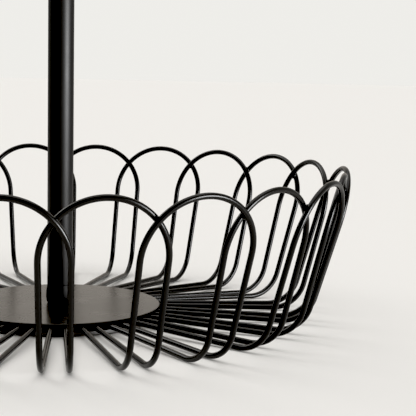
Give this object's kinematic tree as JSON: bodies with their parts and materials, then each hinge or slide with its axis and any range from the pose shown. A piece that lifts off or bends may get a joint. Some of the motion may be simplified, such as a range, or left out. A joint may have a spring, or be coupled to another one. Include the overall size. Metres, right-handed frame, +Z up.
{
  "type": "wire produce basket",
  "caption": "Round open wire basket of overlapping petal-shaped wires on a flat centre plate, with a straight centre pole and a carrying ring.",
  "frame": {"origin": "on the pole's axis, on the table the basket stands on", "axes": "+Z up along the pole, -Y through the middle of petal_wire_01, +X to the right of it"},
  "size_m": [0.2882, 0.2865, 0.3048],
  "materials": {
    "black_powder_coat": "satin black powder coat on steel",
    "bare_steel": "zinc plated steel"
  },
  "bodies": {
    "root": {"petal_wire_01": "black_powder_coat", "petal_wire_02": "black_powder_coat", "petal_wire_03": "black_powder_coat", "petal_wire_04": "black_powder_coat", "petal_wire_05": "black_powder_coat", "petal_wire_06": "black_powder_coat", "petal_wire_07": "black_powder_coat", "petal_wire_08": "black_powder_coat", "petal_wire_09": "black_powder_coat", "petal_wire_10": "black_powder_coat", "petal_wire_11": "black_powder_coat", "petal_wire_12": "black_powder_coat", "petal_wire_13": "black_powder_coat", "petal_wire_14": "black_powder_coat", "petal_wire_15": "black_powder_coat", "petal_wire_16": "black_powder_coat", "petal_wire_17": "black_powder_coat", "petal_wire_18": "black_powder_coat", "petal_wire_19": "black_powder_coat", "petal_wire_20": "black_powder_coat", "petal_wire_21": "black_powder_coat", "petal_wire_22": "black_powder_coat", "crossing_welds": "black_powder_coat", "top_plate": "black_powder_coat", "base_ring": "black_powder_coat", "pole_tube": "black_powder_coat", "foot_plug": "black_powder_coat", "top_plug": "bare_steel", "pole_screw": "bare_steel", "screw_washer": "bare_steel", "handle_stud": "bare_steel", "handle_neck": "black_powder_coat", "handle_ring": "black_powder_coat"}
  },
  "joints": []
}
